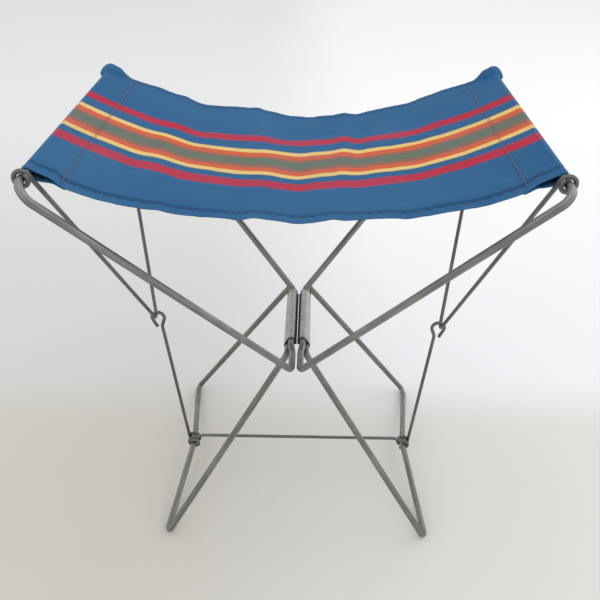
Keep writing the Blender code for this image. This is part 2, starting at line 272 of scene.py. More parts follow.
def steel(name, light, dark, patina, roughness):
    """Old drawn steel: lines along the bar, dull oxide, brown specks, brighter where it rubs."""
    s = Shader(name)
    skin = s.attribute("skin")
    place = s.node("TexCoord").outputs["Object"]
    drawn = s.noise(s.stretch(skin, (2.2, 2.2, 0.045)), 1.6, 4.0, 0.6)
    clouds = s.noise(place, 38.0, 4.0, 0.6)
    specks = s.noise(s.stretch(skin, (1.0, 1.0, 0.55)), 2.6, 5.0, 0.7)
    blotches = s.noise(place, 13.0, 2.0, 0.5)
    colour = s.mix(s.spread(drawn, 0.32, 0.68), dark, light)
    colour = s.mix(s.spread(clouds, 0.42, 0.78, 0.0, 0.55), colour, dark)
    rusty = s.math("MULTIPLY", s.spread(specks, 0.56, 0.72), s.spread(blotches, 0.42, 0.68))
    colour = s.mix(s.math("MULTIPLY", rusty, 0.75), colour, patina)
    rubbed = s.math("MULTIPLY", s.attribute("rubbed", "Fac"), s.spread(clouds, 0.2, 0.6))
    colour = s.mix(s.math("MULTIPLY", rubbed, 0.45), colour, srgb(176, 176, 172))
    rough = s.spread(clouds, 0.25, 0.75, roughness - 0.08, roughness + 0.12)
    rough = s.math("ADD", rough, s.math("MULTIPLY", rusty, 0.28), clamp=True)
    rough = s.math("SUBTRACT", rough, s.math("MULTIPLY", rubbed, 0.10), clamp=True)
    fine = s.math("ADD", drawn, s.math("MULTIPLY", specks, 0.8))
    return s.surface(Base_Color=colour, Metallic=0.92, Roughness=rough, Normal=s.bump(fine, 0.32, 0.00012))


def zinc(name, cool, warm, dark):
    """Weathered zinc sheet: pale crystals, a few scratches, darker cut edges, and painted shade on the lips
    between the sleeves.
    """
    s = Shader(name)
    place = s.node("TexCoord").outputs["Object"]
    flattened = s.stretch(place, (1.0, 0.6, 1.0))
    crystal = s.node("TexVoronoi", {"Vector": flattened, "Scale": 420.0}).outputs["Color"]
    grey = s.node("RGBToBW", {"Color": crystal}).outputs["Val"]
    clouds = s.noise(place, 120.0, 4.0, 0.6)
    scratch = s.noise(s.stretch(place, (900.0, 22.0, 900.0)), 1.0, 3.0, 0.6)
    colour = s.mix(s.spread(clouds, 0.3, 0.7), cool, warm)
    colour = s.mix(s.spread(grey, 0.2, 0.8, 0.0, 0.22), colour, dark)
    colour = s.mix(s.spread(scratch, 0.62, 0.76, 0.0, 0.5), colour, dark)
    # The edge mask darkens the cut edges, and it paints shade on the lips that run down between the two
    # sleeves
    colour = s.mix(s.attribute("edge", "Fac"), colour, dark)
    rough = s.spread(clouds, 0.3, 0.7, 0.42, 0.62)
    fine = s.math("ADD", clouds, s.math("MULTIPLY", scratch, 0.6))
    return s.surface(Base_Color=colour, Metallic=0.55, Roughness=rough, Normal=s.bump(fine, 0.25, 0.00015))


BLUE = srgb(42, 99, 146)
RED = srgb(196, 36, 58)
YELLOW = srgb(250, 212, 122)
ORANGE = srgb(228, 100, 44)
ROSE = srgb(160, 106, 80)
SAGE = srgb(112, 120, 98)
# Width of each stripe in millimetres, from the front hem's edge to the rear one's, at the full depth
STRIPES = ((66.2, BLUE), (13.4, RED), (10.4, BLUE), (6.4, YELLOW), (7.8, ORANGE), (6.0, ROSE), (13.0, SAGE),
           (4.0, ROSE), (8.4, ORANGE), (6.8, YELLOW), (16.0, BLUE), (12.6, RED), (77.4, BLUE))


def canvas_cloth(name):
    """Striped cotton canvas: coloured warp along X, a blue-grey weft, plain weave, faded and soiled."""
    s = Shader(name)
    cloth = s.attribute("cloth")
    axes = s.node("SeparateXYZ", {"Vector": cloth})
    along, across = axes.outputs["X"], axes.outputs["Y"]
    place = s.node("TexCoord").outputs["Object"]
    waver = s.noise(s.stretch(cloth, (25.0, 260.0, 1.0)), 1.0, 2.0, 0.5)
    shifted = s.math("ADD", across, s.math("MULTIPLY", s.math("SUBTRACT", waver, 0.5), 0.0012))
    stops = []
    edge = 0.0
    total = 2 * SEAT_HALF_DEPTH
    soft = 0.0005 / total
    for index, (width, colour) in enumerate(STRIPES):
        start, edge = edge, edge + width / 1000
        if index:
            stops.append((start / total + soft, colour))
        if index < len(STRIPES) - 1:
            stops.append((edge / total - soft, colour))
    share = s.spread(shifted, -SEAT_HALF_DEPTH, SEAT_HALF_DEPTH)
    colour = s.ramp(share, stops)
    pitch = math.tau / YARN_REPEAT
    warp = s.math("SINE", s.math("MULTIPLY", across, pitch))
    weft = s.math("SINE", s.math("MULTIPLY", along, pitch))
    weave = s.math("MULTIPLY", warp, weft)
    over = s.spread(weave, -0.6, 0.6)
    slubs = s.noise(s.stretch(cloth, (60.0, 1500.0, 1.0)), 1.0, 3.0, 0.6)
    thick = s.noise(s.stretch(cloth, (1500.0, 45.0, 1.0)), 1.0, 3.0, 0.6)
    colour = s.mix(s.math("MULTIPLY", s.math("SUBTRACT", 1.0, over), 0.16), colour, srgb(34, 74, 118))
    colour = s.mix(s.spread(slubs, 0.3, 0.7, 0.0, 0.16), colour, (0.75, 0.78, 0.80), "MULTIPLY")
    colour = s.mix(s.spread(thick, 0.35, 0.75, 0.0, 0.14), colour, (0.70, 0.74, 0.80), "MULTIPLY")
    fade = s.noise(s.stretch(place, (9.0, 14.0, 9.0)), 1.0, 3.0, 0.55)
    colour = s.mix(s.spread(fade, 0.35, 0.75, 0.0, 0.14), colour, srgb(96, 140, 170))
    soil = s.noise(place, 24.0, 5.0, 0.65)
    colour = s.mix(s.spread(soil, 0.58, 0.80, 0.0, 0.20), colour, srgb(58, 74, 92))
    worn = s.math("MULTIPLY", s.attribute("worn", "Fac"), s.spread(slubs, 0.3, 0.75))
    colour = s.mix(s.math("MULTIPLY", worn, 0.40), colour, srgb(110, 150, 182))
    dark = s.attribute("shade", "Fac")
    colour = s.mix(s.math("MULTIPLY", dark, 0.60), colour, srgb(14, 46, 88))
    height = s.math("ADD", s.math("MULTIPLY", weave, 0.5), s.math("ADD", slubs, thick))
    rumple = s.noise(s.stretch(place, (70.0, 110.0, 70.0)), 1.0, 3.0, 0.5)
    normal = s.bump(rumple, 0.45, 0.0012)
    normal = s.bump(height, 0.70, 0.00022, normal)
    return s.surface(Base_Color=colour, Roughness=s.spread(slubs, 0.3, 0.7, 0.78, 0.95), Normal=normal,
                     Sheen_Weight=0.05, Sheen_Roughness=0.5, Specular_IOR_Level=0.12)


def thread(name, light, dark):
    """Twisted sewing thread: two plies that wind round it, faded and a little fuzzy."""
    s = Shader(name)
    skin = s.attribute("skin")
    axes = s.node("SeparateXYZ", {"Vector": skin})
    turn = s.math("ARCTAN2", axes.outputs["Y"], axes.outputs["X"])
    climb = s.math("MULTIPLY", axes.outputs["Z"], 1.8)
    ply = s.math("SINE", s.math("ADD", s.math("MULTIPLY", turn, 2.0), climb))
    fuzz = s.noise(s.stretch(skin, (3.0, 3.0, 1.0)), 2.0, 4.0, 0.6)
    colour = s.mix(s.spread(ply, -1.0, 1.0), dark, light)
    colour = s.mix(s.spread(fuzz, 0.4, 0.8, 0.0, 0.35), colour, dark)
    height = s.math("ADD", s.math("MULTIPLY", ply, 0.5), fuzz)
    return s.surface(Base_Color=colour, Roughness=0.85, Normal=s.bump(height, 0.6, 0.0001),
                     Sheen_Weight=0.2, Specular_IOR_Level=0.2)


# ---------------------------------------------------------------- shapes
def mesh_object(name, points, faces, surface, attributes=None, smooth=True):
    """A mesh piece with its point attributes; a list of floats or of triples for each name."""
    data = bpy.data.meshes.new(name)
    data.from_pydata([tuple(p) for p in points], [], faces)
    data.update()
    data.polygons.foreach_set("use_smooth", [smooth] * len(data.polygons))
    for key, values in (attributes or {}).items():
        single = isinstance(values[0], float)
        made = data.attributes.new(key, "FLOAT" if single else "FLOAT_VECTOR", "POINT")
        if single:
            made.data.foreach_set("value", values)
        else:
            made.data.foreach_set("vector", [v for triple in values for v in triple])
    data.materials.append(surface)
    made = bpy.data.objects.new(name, data)
    bpy.context.collection.objects.link(made)
    return made


def rounded(corners, closed=False, step=6.0):
    """Points of a bent wire. Each corner is (point, bend radius); straight runs get points along them too."""
    count = len(corners)
    bends = []
    for index, (corner, radius) in enumerate(corners):
        corner = Vector(corner)
        if (index in (0, count - 1) and not closed) or radius == 0:
            bends.append([corner])
            continue
        back = (Vector(corners[index - 1][0]) - corner).normalized()
        ahead = (Vector(corners[(index + 1) % count][0]) - corner).normalized()
        half = back.angle(ahead) / 2
        centre = corner + (back + ahead).normalized() * (radius / math.sin(half))
        start = corner + back * (radius / math.tan(half)) - centre
        finish = corner + ahead * (radius / math.tan(half)) - centre
        sweep = start.angle(finish)
        steps = max(2, math.ceil(math.degrees(sweep) / step))
        bend = []
        for i in range(steps + 1):
            blend = start * math.sin((1 - i / steps) * sweep) + finish * math.sin(i / steps * sweep)
            bend.append(centre + blend / math.sin(sweep))
        bends.append(bend)
    return joined(bends, closed)


def joined(runs, closed=False, spacing=0.004):
    """The runs of points in one path, with points every few millimetres along the straights between them."""
    path = list(runs[0])
    for run in runs[1:] + ([runs[0][:1]] if closed else []):
        gap = run[0] - path[-1]
        steps = max(1, round(gap.length / spacing))
        path += [path[-1] + gap * (i / steps) for i in range(1, steps)]
        path += run
    return path[:-1] if closed else path


def mirrored(path, side):
    return [Vector((side * p.x, p.y, p.z)) for p in path]


def tube(name, path, radius, surface, closed=False, sides=20, rubs=(), floor=False):
    """A round bar along a path, a little oval in its bends and worn at the points in rubs."""
    count = len(path)
    ahead = [path[(i + 1) % count] if closed or i < count - 1 else path[i] for i in range(count)]
    behind = [path[i - 1] if closed or i > 0 else path[i] for i in range(count)]
    tangents = [(a - b).normalized() for a, b in zip(ahead, behind)]
    first = tangents[0].orthogonal().normalized()
    normals = [first]
    for i in range(1, count):
        turn = tangents[i - 1].rotation_difference(tangents[i])
        normals.append((turn @ normals[-1]).normalized())
    twist = 0.0
    if closed:
        last = tangents[-1].rotation_difference(tangents[0]) @ normals[-1]
        twist = math.atan2(tangents[0].dot(last.cross(first)), last.dot(first))
    points, skin, rubbed = [], [], []
    length = 0.0

    def ring(place, tangent, normal, size, along, squeeze=0.0, inward=None):
        side = tangent.cross(normal)
        for k in range(sides):
            angle = math.tau * k / sides
            out = normal * math.cos(angle) + side * math.sin(angle)
            if squeeze:
                depth = out.dot(inward)
                flatten = inward * (-depth * BEND_FLATTEN * squeeze)
                out = out + flatten + (out - inward * depth) * (BEND_WIDEN * squeeze)
            at = place + out * size
            if floor:
                at.z = max(at.z, 0.0)
            points.append(at)
            skin.append((math.cos(angle), math.sin(angle), along / radius))
            near = min([(at - spot).length for spot in rubs], default=1.0)
            on_floor = floor and at.z <= 0
            rubbed.append(1.0 if on_floor else max(0.0, 1.0 - near / RUB_REACH))

    def end_rings(end, sign, steps):
        for back, share in steps:
            place = path[end] + tangents[end] * radius * (sign * back)
            ring(place, tangents[end], normals[end], radius * share, length)

    spans = [(path[(i + 1) % count] - path[i]).length for i in range(count)]
    if not closed:
        end_rings(0, 1, END_RINGS)
    for i in range(count):
        if not closed and i in (0, count - 1) and count > 4:
            move = radius * END_BLUNT * (1 if i == 0 else -1)
            place = path[i] + tangents[i] * move
        else:
            place = path[i]
        normal = normals[i]
        if twist:
            angle = twist * i / count
            normal = normal * math.cos(angle) + tangents[i].cross(normal) * math.sin(angle)
        leaving, arriving = ahead[i] - path[i], path[i] - behind[i]
        bend = Vector()
        if leaving.length > 0 and arriving.length > 0:
            bend = leaving.normalized() - arriving.normalized()
        curve = bend.length / max(1e-6, (ahead[i] - behind[i]).length / 2) * radius
        if curve > STRAIGHT_ENOUGH:
            ring(place, tangents[i], normal, radius, length, min(1.0, curve), bend.normalized())
        else:
            ring(place, tangents[i], normal, radius, length)
        length += spans[i]
    if not closed:
        end_rings(-1, -1, END_RINGS[::-1])
    rings = len(points) // sides
    faces = []
    for i in range(rings if closed else rings - 1):
        here, there = i * sides, (i + 1) % rings * sides
        for k in range(sides):
            after = (k + 1) % sides
            faces.append((here + k, here + after, there + after, there + k))
    if not closed:
        faces += [tuple(range(sides))[::-1], tuple(range((rings - 1) * sides, rings * sides))]
    return mesh_object(name, points, faces, surface, {"skin": skin, "rubbed": rubbed})


def leg_plane(side, y, rise):
    """A point of the leg frame's plane, at a distance rise up the frame from the feet."""
    foot = Vector((FOOT_X, y, ROD - FOOT_WEAR))
    up = Vector((LEG_ROD_X - FOOT_X, 0, LEG_ROD_Z - ROD + FOOT_WEAR)).normalized()
    at = foot + up * rise
    return Vector((side * at.x, at.y, at.z))


def floor_bar(side, y):
    """Centre of the floor bar near its raised and rounded middle."""
    slope = math.atan2(KINK_RISE + FOOT_DROP, FOOT_HALF)
    rounding = KINK_BEND * (1 / math.cos(slope) - 1) / math.tan(slope)
    return leg_plane(side, y, KINK_RISE - math.tan(slope) * math.hypot(y, rounding))


def coil(centre, radius, start, turn, y_start, y_step=0.0, step=12):
    """Points of a coil along Y, from an angle in degrees, turn degrees round."""
    steps = math.ceil(abs(turn) / step)
    path = []
    for i in range(steps + 1):
        angle = math.radians(start + turn * i / steps)
        path.append(Vector((centre.x + radius * math.cos(angle), y_start + y_step * i / steps,
                            centre.z + radius * math.sin(angle))))
    return path


def seat_frame(name, side, surface):
    toe_in = Vector((TOP_X - SEAT_ROD_X, 0, TOP_Z - SEAT_ROD_Z)).normalized() * SEAT_ROD_TOE_IN
    corners = [
        (Vector((SEAT_ROD_X, TOE_IN_FRONT_Y, SEAT_ROD_Z)) - toe_in, TOE_IN_BEND),
        (Vector((SEAT_ROD_X, SEAT_ROD_FRONT_Y, SEAT_ROD_Z)) - toe_in, CENTRE_BEND),
        ((TOP_X, TOP_FRONT_Y, TOP_Z), FRONT_BEND[side]),
        ((TOP_X, TOP_REAR_Y, TOP_Z), REAR_BEND),
        ((SEAT_ROD_X, SEAT_ROD_REAR_Y, SEAT_ROD_Z), CENTRE_BEND),
        ((SEAT_ROD_X, TOE_IN_REAR_Y, SEAT_ROD_Z), TOE_IN_BEND),
    ]
    path = rounded([((side * p[0], p[1], p[2]), r) for p, r in corners], closed=True)
    eyes = (LINK_FRONT_Y - EYE_LENGTH / 2, LINK_REAR_Y + EYE_LENGTH / 2)
    rubs = [Vector((side * TOP_X, y, TOP_Z)) for y in eyes]
    return tube(name, path, ROD, surface, closed=True, sides=24, rubs=rubs)


def leg_frame(name, side, surface):
    corners = [
        ((side * LEG_ROD_X, LEG_ROD_FRONT_Y, LEG_ROD_Z), CENTRE_BEND),
        (leg_plane(side, -FOOT_HALF, -FOOT_DROP), FOOT_BEND),
        (leg_plane(side, 0, KINK_RISE), KINK_BEND),
        (leg_plane(side, FOOT_HALF, -FOOT_DROP), FOOT_BEND),
        ((side * LEG_ROD_X, LEG_ROD_REAR_Y, LEG_ROD_Z), CENTRE_BEND),
    ]
    path = rounded(corners, closed=True)
    return tube(name, path, ROD, surface, closed=True, sides=24, rubs=[floor_bar(side, 0)], floor=True)


def v_link(name, side, surface):
    """A wire V that hangs from two eyes round the top bar, drawn for the right side and then mirrored."""
    knot = KNOT[side]
    drop = TOP_Z - knot.z
    lean = math.atan2(TOP_X - EYE - knot.x, drop)
    sharp = KNOT_BEND * (1 / math.sin(math.atan2((LINK_REAR_Y - LINK_FRONT_Y) / 2, drop)) - 1)
    corner = knot - Vector((math.tan(lean), 0, 1)) * sharp
    start = 180 - math.degrees(lean) - EYE_TURN
    bar = Vector((TOP_X, 0, TOP_Z))
    front = coil(bar, EYE, start, EYE_TURN, LINK_FRONT_Y - EYE_LENGTH, EYE_LENGTH)
    rear = coil(bar, EYE, start, EYE_TURN, LINK_REAR_Y + EYE_LENGTH, -EYE_LENGTH)
    middle = rounded([(front[-1], 0), (corner, KNOT_BEND), (rear[-1], 0)])
    path = front[:-1] + middle + rear[:-1][::-1]
    rubs = [Vector((side * knot.x, knot.y, knot.z))]
    return tube(name, mirrored(path, side), WIRE, surface, sides=16, rubs=rubs)


def touch_angle(centre, radius, point, turn):
    """Angle in degrees where a line from a point touches a circle in XZ. Turn (1 or -1) picks the side."""
    away = centre - point
    heading = math.atan2(away.z, away.x) + turn * math.asin(radius / away.length)
    return math.degrees(heading) + turn * 90


def hook_link(name, side, surface):
    """A wire from an eye round the floor bar's middle up to an open loop that hooks over the V's bend."""
    bar = floor_bar(1, HOOK_Y + EYE_LENGTH / 2)
    knot = KNOT[side]
    reach = HOOK_RADIUS - 2 * WIRE - GAP
    loop = Vector((knot.x - HOOK_INSET, 0, knot.z - math.sqrt(reach ** 2 - HOOK_INSET ** 2)))
    neck = loop + HOOK_NECK
    tip = loop + HOOK_TIP
    lean = math.degrees(math.atan2(neck.x - bar.x - KINK_EYE, neck.z - bar.z))
    lower = coil(bar, KINK_EYE, -lean - EYE_TURN, EYE_TURN, HOOK_Y + EYE_LENGTH, -EYE_LENGTH)
    start = touch_angle(loop, HOOK_RADIUS, neck, 1)
    finish = touch_angle(loop, HOOK_RADIUS, tip, -1)
    upper = coil(loop, HOOK_RADIUS, start, finish - start, HOOK_Y)
    neck.y = tip.y = HOOK_Y
    shank = rounded([(lower[-1], 0), (neck, HOOK_NECK_BEND), (upper[0], 0)])
    path = joined([lower[:-1] + shank[:-1] + upper, [tip]])
    rubs = [Vector((side * knot.x, HOOK_Y, knot.z))]
    return tube(name, mirrored(path, side), WIRE, surface, sides=16, rubs=rubs)


def bottom_tie(name, surface):
    """A wire from an eye round the left floor bar to an open hook over the right one, raised between them."""
    left = floor_bar(-1, TIE_Y - EYE_LENGTH / 2)
    right = floor_bar(1, TIE_Y)
    start = coil(left, KINK_EYE, 90 + EYE_TURN, -EYE_TURN, TIE_Y - EYE_LENGTH, EYE_LENGTH)
    hook = coil(right, KINK_EYE, 90, -TIE_HOOK_TURN, TIE_Y)
    left_shoulder = start[-1] + Vector((TIE_SHOULDER, 0, TIE_LIFT))
    right_shoulder = hook[0] + Vector((-TIE_SHOULDER, 0, TIE_LIFT))
    middle = rounded([(start[-1], 0), (left_shoulder, TIE_BEND), (right_shoulder, TIE_BEND), (hook[0], 0)])
    return tube(name, start[:-1] + middle + hook[1:], WIRE, surface, sides=16)


def arc(centre, radius, start, finish, step=8.0):
    """Points on a circle in XZ, angles in degrees from +X towards +Z."""
    steps = max(2, math.ceil(abs(finish - start) / step))
    angles = [math.radians(start + (finish - start) * i / steps) for i in range(steps + 1)]
    return [(centre[0] + radius * math.cos(a), centre[1] + radius * math.sin(a)) for a in angles]


def hinge_sleeve(name, side, surface):
    """Zinc sheet round both centre rods. Its upper half, lips included, stops short of the rear end."""
    upper, lower = (SEAT_ROD_X, SEAT_ROD_Z), (LEG_ROD_X, LEG_ROD_Z)
    radius = ROD + SLEEVE_CLEARANCE + SLEEVE_SHEET / 2
    lean = math.degrees(math.atan2(upper[1] - lower[1], upper[0] - lower[0]))
    lip_z = (upper[1] + lower[1]) / 2 - GAP
    lip_root = SEAT_ROD_X - radius + SLEEVE_LIP_DEPTH
    apart = SLEEVE_SHEET / 2 + GAP / 2
    line = [(SLEEVE_LIP_X, lip_z - apart), (lip_root, lip_z - apart)]
    line += arc(lower, radius, SLEEVE_WRAP_START, lean + 270)
    line += arc(upper, radius, lean - 90, SLEEVE_WRAP_FINISH)
    line += [(lip_root, lip_z + apart), (SLEEVE_LIP_X, lip_z + apart)]
    line = [Vector((side * x, 0, z)) for x, z in line]
    reach = [0.0]
    for a, b in zip(line, line[1:]):
        reach.append(reach[-1] + (b - a).length)

    def at(distance):
        distance = min(max(distance, 0.0), reach[-1])
        k = max(i for i in range(len(reach)) if reach[i] <= distance or i == 0)
        k = min(k, len(line) - 2)
        share = (distance - reach[k]) / (reach[k + 1] - reach[k])
        return line[k].lerp(line[k + 1], share), (line[k + 1] - line[k]).normalized()

    rows, columns = 28, 72
    points, edges = [], []
    for layer in (1, -1):
        for j in range(rows + 1):
            y = SLEEVE_FRONT_Y + (SLEEVE_REAR_Y - SLEEVE_FRONT_Y) * j / rows
            notch = max(0.0, (y - SLEEVE_NOTCH_Y) / (SLEEVE_REAR_Y - SLEEVE_NOTCH_Y))
            trim = SLEEVE_NOTCH_DEPTH * notch ** 1.2
            for i in range(columns + 1):
                place, run = at(trim + (reach[-1] - 2 * trim) * i / columns)
                spot = place + Vector((-run.z, 0, run.x)) * (layer * SLEEVE_SHEET / 2)
                spot.y = min(y, SLEEVE_CUT_Y if place.z > LEG_ROD_Z else SLEEVE_REAR_Y)
                points.append(spot)
                # Marks the cut ends and sides, and also the lips, whose dark colour is painted shade in the
                # gap between the sleeves
                dark = j in (0, rows) or min(i, columns - i) < 2 or abs(place.x) < lip_root
                edges.append(1.0 if dark else 0.0)
    width = columns + 1
    sheet = (rows + 1) * width
    faces = []
    for j in range(rows):
        for i in range(columns):
            a = j * width + i
            faces.append((a, a + 1, a + 1 + width, a + width))
            faces.append((sheet + a, sheet + a + width, sheet + a + 1 + width, sheet + a + 1))
    for i in range(columns):
        for j, flip in ((0, False), (rows, True)):
            a = j * width + i
            quad = (a, sheet + a, sheet + a + 1, a + 1)
            faces.append(quad[::-1] if flip else quad)
    for j in range(rows):
        for i, flip in ((0, True), (columns, False)):
            a = j * width + i
            quad = (a, sheet + a, sheet + a + width, a + width)
            faces.append(quad[::-1] if flip else quad)
    made = mesh_object(name, points, faces, surface, {"edge": edges})
    weld_and_orient(made)
    return made


def weld_and_orient(made, gap=1e-6):
    """Join the points that meet, turn the faces out and keep the sheet's edges crisp."""
    work = bmesh.new()
    work.from_mesh(made.data)
    bmesh.ops.remove_doubles(work, verts=work.verts, dist=gap)
    bmesh.ops.dissolve_degenerate(work, edges=work.edges, dist=gap)
    bmesh.ops.recalc_face_normals(work, faces=work.faces)
    for edge in work.edges:
        if len(edge.link_faces) == 2 and edge.calc_face_angle(0.0) > math.radians(50):
            edge.smooth = False
    work.to_mesh(made.data)
    work.free()


# ---------------------------------------------------------------- the canvas seat
def section(x):
    """Height of the sagging cloth, and half its depth, at a distance x from the stool's middle."""
    share = abs(x) / TOP_X
    waist = SEAT_WAIST * math.cos(math.pi / 2 * min(share / SEAT_FLARE, 1))
    return TOP_Z + ROD + 2 * CLOTH - SEAT_SAG * (1 - share ** SEAT_SAG_POWER), SEAT_HALF_DEPTH - waist


def slope_at(x):
    share = abs(x) / TOP_X
    return math.copysign(math.atan(SEAT_SAG_POWER * SEAT_SAG / TOP_X * share ** (SEAT_SAG_POWER - 1)), x)


def smooth(share):
    """Eased step from 0 to 1."""
    share = min(1.0, max(0.0, share))
    return share * share * (3 - 2 * share)


def edge_y(x, side):
    """Distance of the front (-1) or rear (1) edge from the middle, cut back at the pockets' mouths."""
    depth = section(x)[1]
    inward = TOP_X - abs(x)
    if side < 0:
        return depth - (depth - POCKET_END[side]) * smooth((POCKET_LENGTH - inward) / POCKET_TAPER)
    mouth = depth - (depth - MOUTH_Y) * smooth((MOUTH_REACH - inward) / (MOUTH_REACH - COVER_START))
    return mouth + (COVER_END - mouth) * smooth((COVER_START - inward) / COVER_TAPER)


def eye_cover(x, y):
    """How far the rear end of a pocket stands off the bar, to clear the eye beneath it."""
    beside = smooth((COVER_START - TOP_X + abs(x)) / (COVER_START - EYE - WIRE))
    return (EYE + WIRE + GAP + 1.5 * CLOTH + HEM_GAP - WRAP) * beside * smooth((y - COVER_Y) / COVER_RISE)


# Soft folds across the cloth: X at the front, X at the rear, height, width, and the Y where it is strongest
FOLDS = (
    (0.004, 0.000, -0.0026, 0.014, -0.02),
    (0.034, 0.046, 0.0022, 0.009, 0.02),
    (0.052, 0.058, -0.0015, 0.008, 0.06),
    (-0.036, -0.030, 0.0024, 0.013, 0.10),
    (-0.030, -0.026, 0.0014, 0.010, -0.08),
    (-0.088, -0.098, -0.0020, 0.012, 0.05),
    (-0.112, -0.118, 0.0016, 0.010, -0.02),
    (0.098, 0.112, -0.0014, 0.014, -0.03),
)
# Creases that start at the hems: X, side, height, width, reach in from the hem
HEM_TUCKS = (
    (-0.118, 1, 0.0014, 0.008, 0.030),
    (-0.056, 1, 0.0052, 0.022, 0.060),
    (-0.044, 1, 0.0020, 0.006, 0.022),
    (0.012, 1, -0.0012, 0.010, 0.030),
    (0.044, 1, 0.0012, 0.008, 0.024),
    (0.110, 1, -0.0012, 0.010, 0.026),
    (-0.100, -1, 0.0012, 0.007, 0.022),
    (-0.042, -1, -0.0014, 0.007, 0.024),
    (0.004, -1, -0.0022, 0.014, 0.030),
    (0.030, -1, 0.0013, 0.006, 0.022),
    (0.086, -1, -0.0012, 0.008, 0.026),
)


def folds(x, y):
    """How far the cloth's own folds, tucks and ripples lift it."""
    free = TOP_X - POCKET_SEAM - abs(x)
    if free <= 0:
        return 0.0
    lift = 0.0
    for front, rear, height, width, strong in FOLDS:
        centre = front + (rear - front) * (y + SEAT_HALF_DEPTH) / (2 * SEAT_HALF_DEPTH)
        fade = math.exp(-((y - strong) / 0.075) ** 2)
        lift += height * fade * math.exp(-((x - centre) / width) ** 2)
    for place, side, height, width, reach in HEM_TUCKS:
        inward = edge_y(x, side) - side * y
        lift += height * math.exp(-((x - place) / width) ** 2) * math.exp(-(inward / reach) ** 2)
    lift += 0.0011 * noise.noise(Vector((x * 34, y * 20, 3.1)))
    lift += 0.0004 * noise.noise(Vector((x * 95, y * 60, 7.7)))
    return lift * min(1.0, free / 0.03)


def profile():
    """The cloth's line in XZ, from under one bar over the seat to under the other: (x, z, normal, length)."""
    stations, under = 110, 14
    edge = TOP_X - WRAP * math.sin(slope_at(TOP_X))
    half = [(edge * i / stations, section(edge * i / stations)[0]) for i in range(stations + 1)]
    turned = arc((TOP_X, TOP_Z), WRAP, 90 + math.degrees(slope_at(TOP_X)), POCKET_WRAP_FINISH, 10.0)[1:]
    half += turned
    for i in range(1, under + 1):
        share = i / under
        ease = share * share * (3 - 2 * share)
        x = turned[-1][0] + (TOP_X - POCKET_LENGTH - turned[-1][0]) * share
        drop = 2 * WRAP * (1 - ease) + (CLOTH + UNDER_GAP) * ease
        half.append((x, section(x)[0] - drop - UNDER_SLACK * math.sin(math.pi * share)))
    line = [(-x, z) for x, z in half[:0:-1]] + half
    made = []
    length = 0.0
    for i, (x, z) in enumerate(line):
        before = line[max(i - 1, 0)]
        after = line[min(i + 1, len(line) - 1)]
        run = Vector((after[0] - before[0], 0, after[1] - before[1])).normalized()
        if i:
            length += math.hypot(x - before[0], z - before[1])
        made.append((x, z, Vector((-run.z, 0, run.x)), length))
    return [(x, z, normal, reach - length / 2) for x, z, normal, reach in made]


def across_rows():
    """Rows from front to rear: (side, distance in from the hem's fold, layer), or (flat Y, None, 0)."""
    under = [(HEM * (1 - i / 7), 1.0) for i in range(7)]
    over = [(HEM * i / 12, 0.0) for i in range(1, 13)]
    front = [(-1, inset, layer) for inset, layer in under + [(0.0, 0.5)] + over]
    middle = 84
    flat = SEAT_HALF_DEPTH - HEM
    between = [(flat * (2 * (i + 1) / (middle + 1) - 1), None, 0.0) for i in range(middle)]
    return front + between + [(1, inset, layer) for _, inset, layer in reversed(front)]


def bell(distance, width):
    return math.exp(-(distance / width) ** 2)


def seat_canvas(name, surface):
    """The sagging sheet, hemmed at front and rear and wrapped round each bar into a sewn pocket."""
    lines, rows = profile(), across_rows()
    points, cloth, worn, shade = [], [], [], []
    for x, z, normal, reach in lines:
        edges = {side: edge_y(min(abs(x), TOP_X), side) for side in (-1, 1)}
        edges[1] -= UNDER_CUT * min(1.0, max(0.0, 0.5 - normal.z))
        for place, inset, layer in rows:
            pucker = puff = 0.0
            if inset is None:
                side = 1 if place > 0 else -1
                flat_y = place
                spare = abs(place) - STRAIGHT_WARP
                squeeze = (edges[side] - HEM - STRAIGHT_WARP) / (SEAT_HALF_DEPTH - HEM - STRAIGHT_WARP)
                y = place if spare < 0 else side * (STRAIGHT_WARP + spare * squeeze)
                inward = edges[side] - abs(y)
            else:
                side = place
                flat_y = side * (SEAT_HALF_DEPTH + (inset if layer == 1.0 else -inset))
                y = side * (edges[side] - inset)
                inward = inset
                wander = 1.7 * noise.noise(Vector((reach * 40, side, 0)))
                ripple = math.sin(reach * math.tau / PUCKER_PITCH + wander)
                pucker = PUCKER * ripple * bell(inset - 0.0055, 0.004)
                puff = HEM_PUFF * math.sin(math.pi * min(1.0, inset / HEM * 1.25)) * (0.5 - layer)
            lift = folds(x, y) if normal.z > 0.2 else 0.0
            cover = eye_cover(x, y)
            spot = Vector((x, y, z)) + normal * (lift + pucker + puff + cover - layer * (CLOTH + HEM_GAP))
            if layer == 0.5:
                spot.y += side * CLOTH / 2
            points.append(spot)
            cloth.append((reach, flat_y, 0.0))
            rub = 0.8 * bell(inward, 0.0012) + 0.5 * bell(abs(x) - TOP_X - WRAP * 0.4, 0.003)
            worn.append(min(1.0, rub))
            ditch = 0.0
            if layer == 0.0:
                ditch = max(bell(inward - line, 0.0008) for line in HEM_LINES[side])
            seam = 0.6 * bell(abs(x) - TOP_X + POCKET_SEAM, 0.0011) if normal.z > 0 else 0.0
            shade.append(min(1.0, 0.9 * ditch + seam))
    width = len(rows)
    starts = [i * width + j for i in range(len(lines) - 1) for j in range(width - 1)]
    faces = [(a, a + width, a + width + 1, a + 1) for a in starts]
    made = mesh_object(name, points, faces, surface, {"cloth": cloth, "worn": worn, "shade": shade})
    thicken = made.modifiers.new("thickness", "SOLIDIFY")
    thicken.thickness = CLOTH
    thicken.offset = 0.0
    bpy.context.view_layer.objects.active = made
    made.select_set(True)
    bpy.ops.object.modifier_apply(modifier=thicken.name)
    made.select_set(False)
    return made


